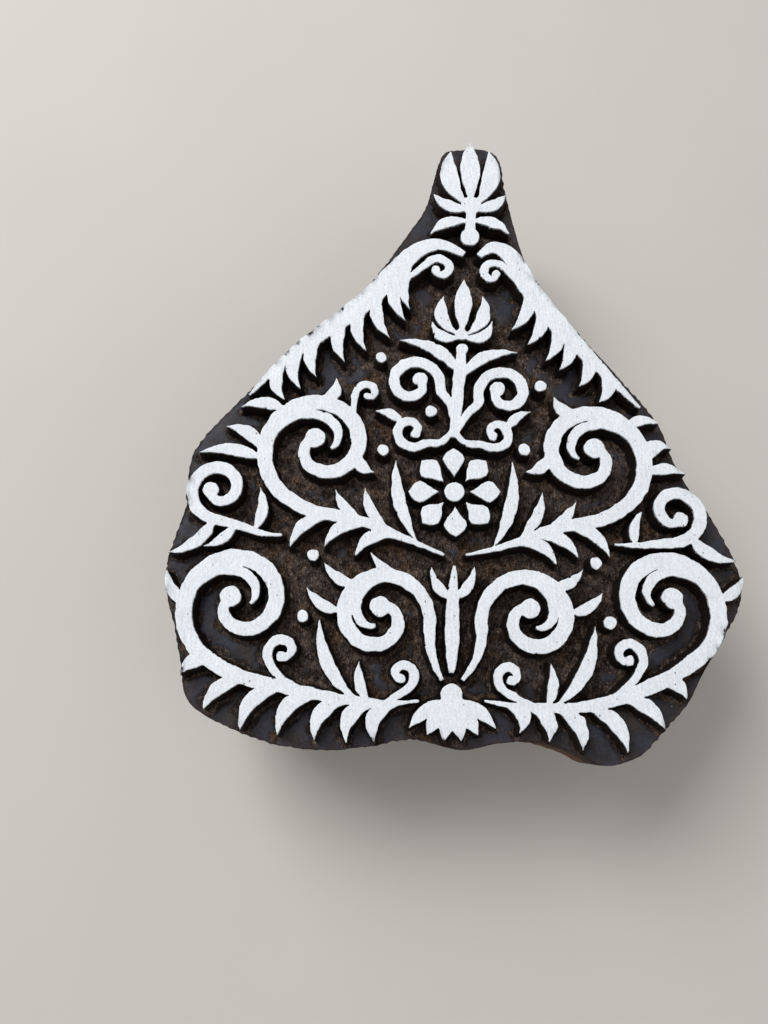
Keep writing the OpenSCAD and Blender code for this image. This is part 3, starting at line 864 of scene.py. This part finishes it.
def ground_depth(places, sizes):
    """Shape of the carved ground: (depth below the floor, what is painted on it)."""
    gap = land_edges(*edge_shape(sizes)).gap(places)
    _, rim = block_outline(sizes.point_gap)
    # The cuts beside the lands are narrow near the rim, and their width varies from place to place
    bend = SLOW_BEND * ripple(places, SLOW_BEND_WAVE, 11) + QUICK_BEND * ripple(places, QUICK_BEND_WAVE, 12)
    width = sizes.trench_width * (0.35 + 0.65 * ramp(-rim.gap(places), NARROW_RIM, WIDE_INSIDE))
    width *= 1 + 0.25 * ripple(places, WIDTH_WAVE, 18)
    open_ground = ramp(gap + bend, width * 0.75, width * 1.25)
    # Small gouge marks and fine streaks lie in the cuts, and wide shallow dips on the open ground
    cups = np.clip(dents(places, sizes.gouge_width, 13) / 0.8, 0, 1) ** 2
    wide = np.clip(dents(places, DIP_GAP, 14) / 0.8, 0, 1) ** 2
    streaks = np.sin(2 * math.pi * gap / STREAK_GAP + 2.5 * ripple(places, STREAK_WAVE, 15))
    depth = sizes.trench_depth * (0.85 + 0.3 * ripple(places, DEPTH_WAVE, 16))
    depth += sizes.gouge_depth * (0.5 - cups) + STREAK_HEIGHT * streaks
    flat = OPEN_DIP * (1 - wide) + OPEN_RIPPLE * ripple(places, RIPPLE_WAVE, 17)
    paints = {
        # The slate value marks the open ground, which gets the slate colour's painted bluish reflection
        "slate": open_ground,
        # The ridge value marks where painted highlights go on the ridges between gouge marks
        "ridge": cups * (1 - open_ground),
        # The cut value marks a band of painted shade along the foot of each land
        "cut": 1 - ramp(gap, 0.35 * sizes.shade_band_width, 1.3 * sizes.shade_band_width),
    }
    return depth * (1 - open_ground) + flat * open_ground, paints


def saw_marks(loop, sizes):
    """Depth of the saw's marks at each point of the block's outline."""
    draw = np.random.default_rng(21)
    along = np.concatenate(([0], np.cumsum(np.linalg.norm(np.diff(loop, axis=0), axis=1))))
    ends = np.cumsum(draw.uniform(0.6, 1.4, int(2 * along[-1] / sizes.saw_gap)) * sizes.saw_gap)
    ends = np.concatenate(([0], ends[ends < along[-1]]))
    depths = draw.uniform(0.25, 1, len(ends)) * sizes.saw_depth
    mark = np.searchsorted(ends, along, side="right") - 1
    size = np.append(np.diff(ends), along[-1] - ends[-1] + SAME)[mark]
    part = (along - ends[mark]) / size
    rough = np.clip(0.6 + 0.5 * ripple(loop, SAW_WAVE, 22), 0.15, 1)
    return depths[mark] * rough * np.sin(math.pi * part)


def block_skin(carving, sizes):
    """The whole block: sawn sides, flat back and carved ground."""
    loop, rim = block_outline(carving.point_gap)
    normals, count = outward(loop), len(loop)
    marks = saw_marks(loop, sizes)
    skin = Skin("slate", "ridge", "cut", "worn", "sawn", "dye")
    thick = FLOOR - BACK
    # Rise above the back, inset and wear of the rings of points up the sides
    levels = [(0.0, sizes.back_bevel, 0.9), (sizes.back_bevel, 0.0, 0.75)]
    levels += [(thick * part, 0.0, 0.3) for part in (0.12, 0.25, 0.4, 0.55, 0.7, 0.84)]
    levels += [(thick - 2 * sizes.brim, 0.0, 0.25), (thick - 0.6 * sizes.brim, 0.3 * sizes.brim, 0.5)]
    rings = []
    for rise, inset, worn in levels:
        hollow = SIDE_HOLLOW * (1.8 + ripple(loop + rise * 0.6, SIDE_WAVE, 23))
        places = loop - normals * (marks + hollow + inset)[:, None]
        edge = worn + 0.2 * marks / sizes.saw_depth
        rings.append(skin.add(places, BACK + rise, worn=edge, sawn=1.0, dye=ramp(rise / thick, 0.1, 0.95)))
    brim = loop - normals * (0.8 * marks + sizes.brim)[:, None]
    depth, _ = ground_depth(brim, carving)
    chips = np.clip(ripple(brim, BRIM_WAVE, 24), 0, 1) * BRIM_CHIP
    top = FLOOR - RIM_FALL - depth * 0.7 - chips
    # The brim takes much of the slate colour, with its painted bluish reflection
    rings.append(skin.add(brim, top, slate=0.7, worn=0.45, sawn=0.3, dye=1.0))
    for low, high in zip(rings, rings[1:]):
        skin.wall(low, high, count)

    gap = carving.ground_gap
    ground = spots_within(loop, rim, gap, sizes.brim + sizes.saw_depth + 0.5 * gap)
    ground = ground[land_edges(*edge_shape(carving)).gap(ground) > -3 * gap]
    depth, paints = ground_depth(ground, carving)
    edge = 1 - ramp(-rim.gap(ground), FALL_FULL, FALL_START)
    first = skin.add(ground, FLOOR - depth - RIM_FALL * edge, worn=0.3 * edge, **paints)
    skin.fill(range(rings[-1], rings[-1] + count), range(first, first + len(ground)))

    back = spots_within(loop, rim, sizes.back_gap, sizes.back_bevel + sizes.saw_depth + BACK_STRIP)
    dip = sizes.back_dip * np.clip(0.5 + 0.5 * ripple(back, BACK_WAVE, 25), 0, 1)
    first = skin.add(back, BACK + dip, sawn=1.0, worn=0.1, dye=0.25)
    skin.fill(range(rings[0], rings[0] + count), range(first, first + len(back)), up=False)
    return skin


def copied(name, node):
    """A copy of a CAD node's mesh with its split points joined, as a new object."""
    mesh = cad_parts[node].data.copy()
    shape = bmesh.new()
    shape.from_mesh(mesh)
    bmesh.ops.remove_doubles(shape, verts=shape.verts, dist=SAME)
    shape.to_mesh(mesh)
    shape.free()
    mesh.name = name
    return bpy.data.objects.new(name, mesh)


def applied(piece):
    """Puts the piece's modifiers into its mesh."""
    bpy.context.scene.collection.objects.link(piece)
    bpy.context.view_layer.update()
    done = bpy.data.meshes.new_from_object(piece.evaluated_get(bpy.context.evaluated_depsgraph_get()))
    piece.modifiers.clear()
    bpy.context.scene.collection.objects.unlink(piece)
    piece.data = done
    return piece


def handle_shape(sizes):
    """The handle with its edges rounded by hand and use, and faint flats left by the rasp."""
    piece = copied("worn_handle", "handle")
    cells = piece.modifiers.new("cells", "REMESH")
    cells.mode = "VOXEL"
    cells.voxel_size = sizes.voxel
    cells.use_smooth_shade = True
    piece = applied(piece)
    low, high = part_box("handle")
    shape = bmesh.new()
    shape.from_mesh(piece.data)
    axes = {"use_axis_x": True, "use_axis_y": True, "use_axis_z": True}
    for _ in range(HANDLE_ROUNDS):
        bmesh.ops.smooth_vert(shape, verts=shape.verts, factor=0.5, **axes)
    shape.normal_update()
    for vert in shape.verts:
        spot = np.array([[vert.co.x + vert.co.z, vert.co.y * 1.6 + vert.co.z]])
        flat = 0.5 + 0.5 * float(ripple(spot, sizes.facet_gap, 31)[0])
        vert.co -= vert.normal * sizes.facet * min(max(flat, 0), 1)
    for vert in shape.verts:
        for axis in range(3):
            vert.co[axis] = min(max(vert.co[axis], low[axis]), high[axis])
        if vert.co.z > high.z - FACE_REACH:
            vert.co.z = high.z
        if vert.co.z < low.z + FACE_REACH:
            vert.co.z = low.z
    shape.to_mesh(piece.data)
    shape.free()
    return piece


def screw_shape(sizes):
    """The screws with the edges of their heads eased."""
    piece = copied("wood_screws", "screws")
    bevel = piece.modifiers.new("bevel", "BEVEL")
    bevel.width = sizes.screw_bevel
    bevel.segments = 2
    bevel.angle_limit = math.radians(35)
    piece = applied(piece)
    piece.data.shade_smooth()
    return piece


class StampOperator:
    """What the stamp's operators share."""

    bl_options = {"REGISTER", "UNDO"}


class STAMP_OT_stage(StampOperator, bpy.types.Operator):
    """Sets up the camera, the lamps and the floor"""

    bl_idname = "stamp.stage"
    bl_label = "Stage"

    def execute(self, context):
        setup = context.scene.stamp_stage
        scene = context.scene
        scene.view_settings.view_transform = "Standard"
        camera = bpy.data.objects.new("camera", bpy.data.cameras.new("camera"))
        camera.data.lens = setup.lens
        camera.data.sensor_width = 36
        camera.data.clip_start = 1 * MM
        camera.data.clip_end = 20
        camera.location = (setup.camera_x, setup.camera_y, TOP + setup.camera_rise)
        camera.rotation_euler = (setup.tilt, 0, 0)
        scene.collection.objects.link(camera)
        scene.camera = camera
        self.add_lamp(scene, "key", setup.key_place, setup.key_size, setup.key_power)
        self.add_lamp(scene, "fill", setup.fill_place, setup.fill_size, setup.fill_power)
        self.add_sky(scene, setup)
        self.add_floor(scene, setup)
        return {"FINISHED"}

    def add_lamp(self, scene, name, where, size, watts):
        """A square lamp that faces the middle of the stamp."""
        lamp = bpy.data.objects.new(name, bpy.data.lights.new(name, "AREA"))
        lamp.data.energy = watts
        lamp.data.size = size
        lamp.location = where
        lamp.rotation_euler = (Vector(where) - Vector((0, 0, TOP))).to_track_quat("Z", "Y").to_euler()
        scene.collection.objects.link(lamp)

    def add_sky(self, scene, setup):
        """Even light from all sides, which looks pale to the camera and in reflections."""
        scene.world = bpy.data.worlds.new("sky")
        paint = Paint(scene.world)
        direct = paint.node("ShaderNodeLightPath", output="Is Camera Ray")
        mirrored = paint.node("ShaderNodeLightPath", output="Is Glossy Ray")
        strength = setup.sky + direct.larger(mirrored) * (setup.sky_seen - setup.sky)
        light = paint.node("ShaderNodeBackground", {}, {"Color": (1, 0.99, 0.97, 1), "Strength": strength})
        paint.node("ShaderNodeOutputWorld", {}, {"Surface": light})

    def add_floor(self, scene, setup):
        """A wide pale floor."""
        mesh = bpy.data.meshes.new("floor")
        half = setup.floor_half
        corners = [(-half, -half, 0), (half, -half, 0), (half, half, 0), (-half, half, 0)]
        mesh.from_pydata(corners, [], [(0, 1, 2, 3)])
        floor = bpy.data.objects.new("floor", mesh)
        scene.collection.objects.link(floor)
        paint = Paint(bpy.data.materials.new("floor"))
        shadowed = (*(0.94 * part for part in setup.floor[:3]), 1)
        shade = paint.mixed(setup.floor, shadowed, paint.cloud(60))
        far = paint.node("ShaderNodeVectorMath", {"operation": "LENGTH"}, {0: paint.place}, "Value")
        far = far.between(setup.far_start / MM, setup.far_end / MM)
        seen = paint.node("ShaderNodeLightPath", output="Is Camera Ray") * far
        glow = paint.mixed((0, 0, 0, 1), setup.far_floor, seen)
        paper = paint.bump(paint.cloud(0.8, detail=2), 0.02)
        finish = paint.finish(shade, 0.9, paper, Emission_Color=glow, Emission_Strength=1.0)
        floor.data.materials.append(finish)


class STAMP_OT_lands(StampOperator, bpy.types.Operator):
    """Carves the chalked lands that print"""

    bl_idname = "stamp.lands"
    bl_label = "Carved lands"

    def execute(self, context):
        sizes = context.scene.stamp_carving
        paint = chalked_paint(context.scene.stamp_colours)
        for number, (name, loops) in enumerate(land_contours(*edge_shape(sizes)).items()):
            skin = Skin("chalk")
            for island, loop in enumerate(loops):
                carve_island(skin, loop, sizes, 100 + 20 * number + island)
            skin.piece(name.replace("_land", "_carving"), paint, "chalked_face", name)
        return {"FINISHED"}


class STAMP_OT_block(StampOperator, bpy.types.Operator):
    """Saws the block out and carves its ground"""

    bl_idname = "stamp.block"
    bl_label = "Block"

    def execute(self, context):
        skin = block_skin(context.scene.stamp_carving, context.scene.stamp_block)
        skin.piece("carved_block", block_paint(context.scene.stamp_colours), "carved_wood", "block")
        return {"FINISHED"}


class STAMP_OT_handle(StampOperator, bpy.types.Operator):
    """Shapes the worn handle"""

    bl_idname = "stamp.handle"
    bl_label = "Handle"

    def execute(self, context):
        piece = handle_shape(context.scene.stamp_handle)
        placed(piece, handle_paint(context.scene.stamp_colours), "handle_wood", "handle")
        return {"FINISHED"}


class STAMP_OT_screws(StampOperator, bpy.types.Operator):
    """Makes the screws that hold the handle"""

    bl_idname = "stamp.screws"
    bl_label = "Screws"

    def execute(self, context):
        piece = screw_shape(context.scene.stamp_handle)
        placed(piece, screw_paint(context.scene.stamp_colours), "screw_steel", "screws")
        return {"FINISHED"}


class STAMP_PT_panel(bpy.types.Panel):
    """Lists the stamp's sizes, colours and pieces"""

    bl_label = "Block Printing Stamp"
    bl_space_type = "VIEW_3D"
    bl_region_type = "UI"
    bl_category = "Stamp"

    def draw(self, context):
        for kind in OPERATORS:
            self.layout.operator(kind.bl_idname)
        for name, kind in GROUPS.items():
            box = self.layout.box()
            box.label(text=kind.__doc__)
            for prop in kind.__annotations__:
                box.prop(getattr(context.scene, name), prop)


GROUPS = {
    "stamp_carving": CarvingSizes,
    "stamp_block": BlockSizes,
    "stamp_handle": HandleSizes,
    "stamp_colours": StampColours,
    "stamp_stage": StageSetup,
}
OPERATORS = (STAMP_OT_stage, STAMP_OT_block, STAMP_OT_lands, STAMP_OT_handle, STAMP_OT_screws)


def register():
    for kind in (*GROUPS.values(), *OPERATORS, STAMP_PT_panel):
        bpy.utils.register_class(kind)
    for name, kind in GROUPS.items():
        setattr(bpy.types.Scene, name, PointerProperty(type=kind))


def unregister():
    for name in GROUPS:
        delattr(bpy.types.Scene, name)
    for kind in (STAMP_PT_panel, *reversed(OPERATORS), *reversed(GROUPS.values())):
        bpy.utils.unregister_class(kind)


def main():
    """Builds the whole stamp."""
    register()
    bpy.ops.stamp.stage()
    bpy.ops.stamp.block()
    bpy.ops.stamp.lands()
    bpy.ops.stamp.handle()
    bpy.ops.stamp.screws()


if __name__ == "__main__":
    main()
